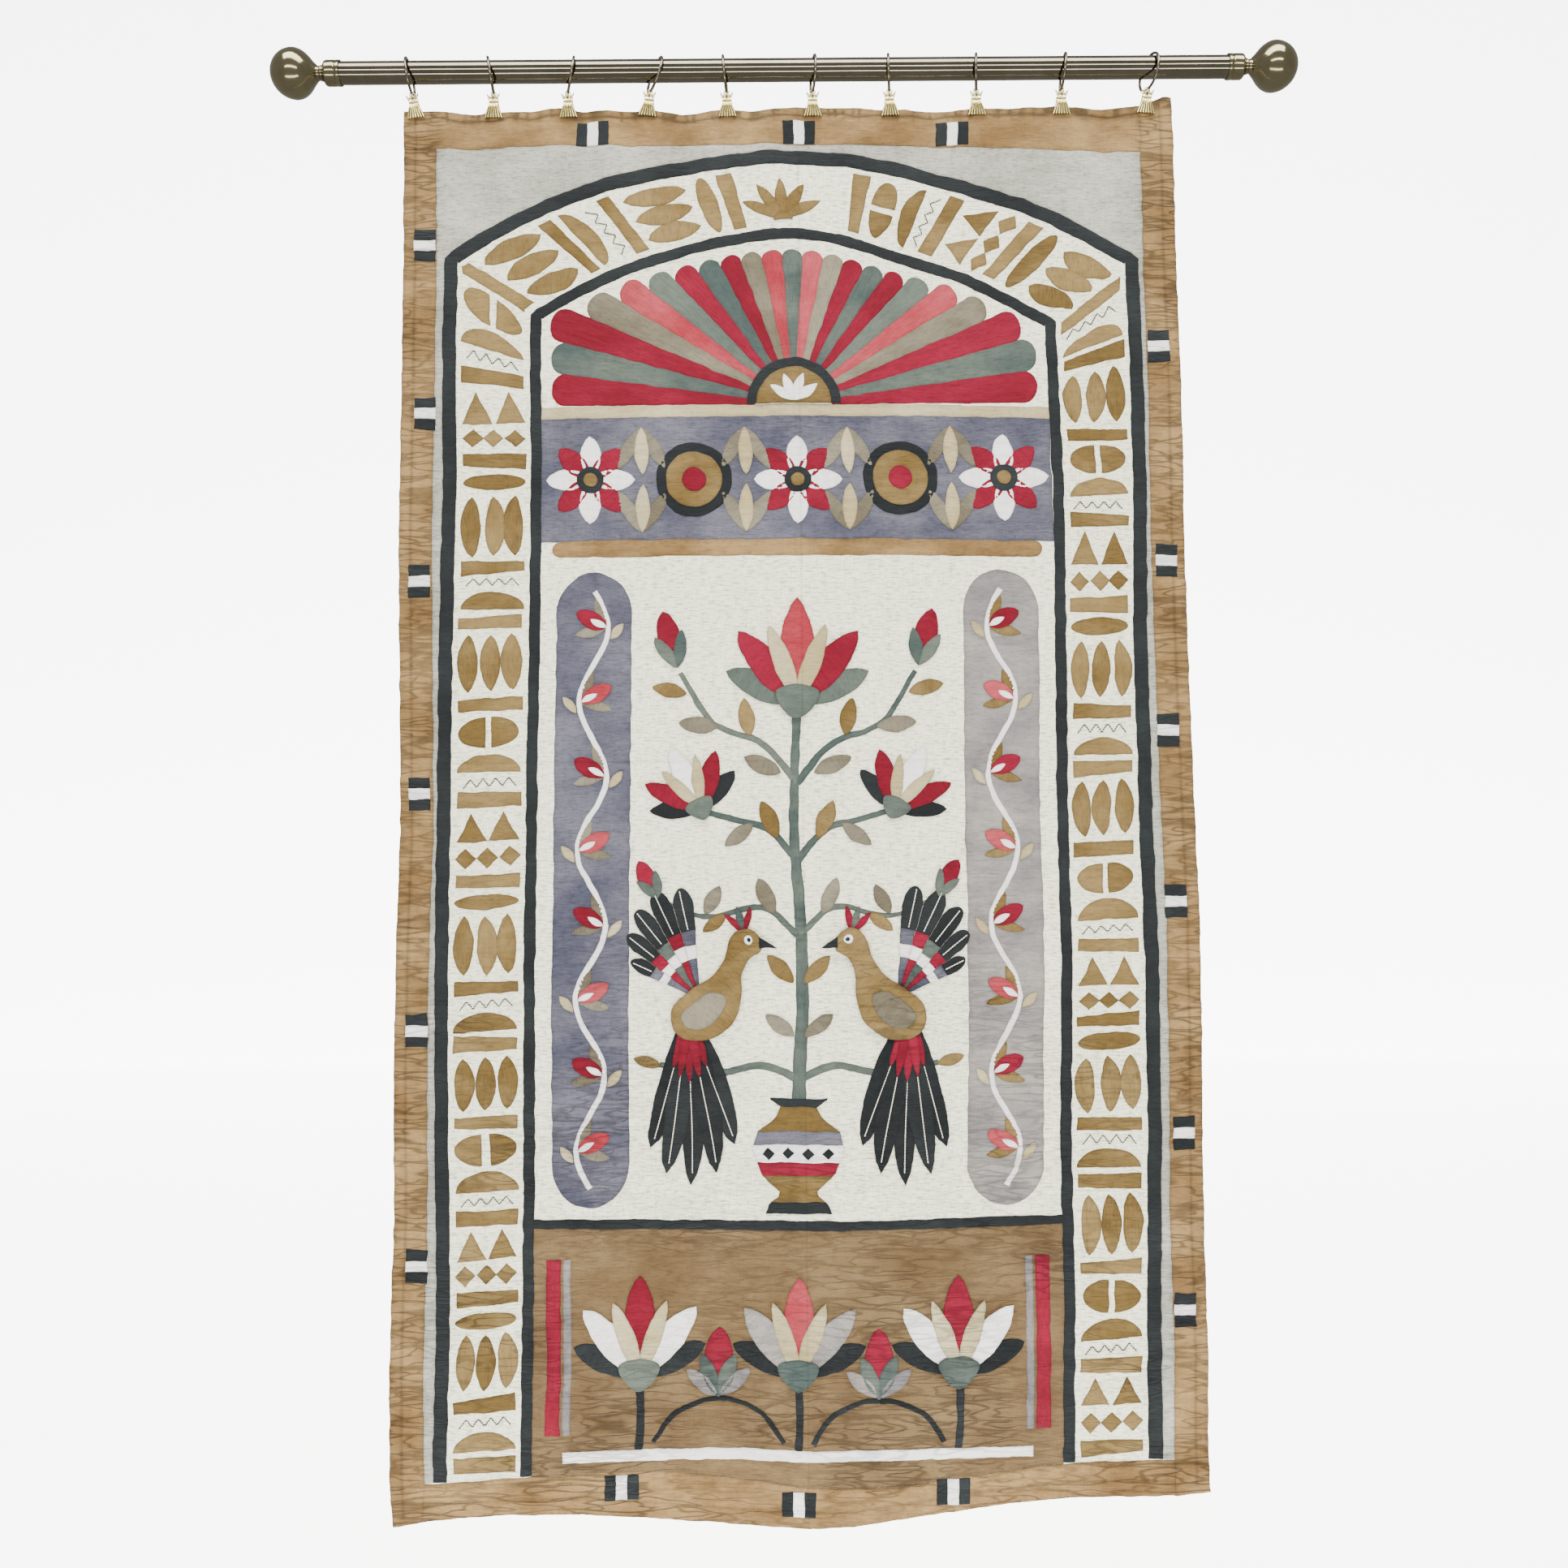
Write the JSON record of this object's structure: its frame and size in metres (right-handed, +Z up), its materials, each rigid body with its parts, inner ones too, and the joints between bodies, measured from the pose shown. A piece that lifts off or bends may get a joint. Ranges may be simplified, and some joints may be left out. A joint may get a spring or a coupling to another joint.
{
  "type": "applique wall hanging with curtain pole, rings and clips",
  "caption": "Tall cotton applique panel with a tan block border and arched bands, hung by clips and rings from a metal curtain pole with ball finials.",
  "frame": {"origin": "middle of the pole's axis, halfway between the two finials", "axes": "+Z up; +X to the right as seen from the front, along the pole; the cloth's front faces -Y"},
  "size_m": [1.3006, 0.0608, 1.8399],
  "materials": {
    "pole_metal": "polished antique brass plating",
    "ring_metal": "worn antique brass plating",
    "clip_brass": "polished pale brass",
    "cream_cloth": "slubby unbleached cotton canvas",
    "tan_cloth": "crinkled plain-weave cotton",
    "grey_cloth": "faded plain-weave cotton",
    "black_cloth": "soft black cotton",
    "violet_cloth": "faded plain-weave cotton",
    "brown_cloth": "crinkled plain-weave cotton"
  },
  "bodies": {
    "root": {"pole": "pole_metal", "finial_left": "pole_metal", "finial_right": "pole_metal", "ring_01": "ring_metal", "ring_02": "ring_metal", "ring_03": "ring_metal", "ring_04": "ring_metal", "ring_05": "ring_metal", "ring_06": "ring_metal", "ring_07": "ring_metal", "ring_08": "ring_metal", "ring_09": "ring_metal", "ring_10": "ring_metal", "clip_01": "clip_brass", "clip_02": "clip_brass", "clip_03": "clip_brass", "clip_04": "clip_brass", "clip_05": "clip_brass", "clip_06": "clip_brass", "clip_07": "clip_brass", "clip_08": "clip_brass", "clip_09": "clip_brass", "clip_10": "clip_brass", "ground_cloth": "cream_cloth", "border_top": "tan_cloth", "border_bottom": "tan_cloth", "border_left": "tan_cloth", "border_right": "tan_cloth", "spandrel_cloth": "grey_cloth", "arch_band_outer": "black_cloth", "arch_band_inner": "black_cloth", "lunette_rail": "tan_cloth", "frieze_panel": "violet_cloth", "frieze_rail": "tan_cloth", "side_panel_left": "violet_cloth", "side_panel_right": "violet_cloth", "base_line": "black_cloth", "base_panel": "brown_cloth"}
  },
  "joints": []
}
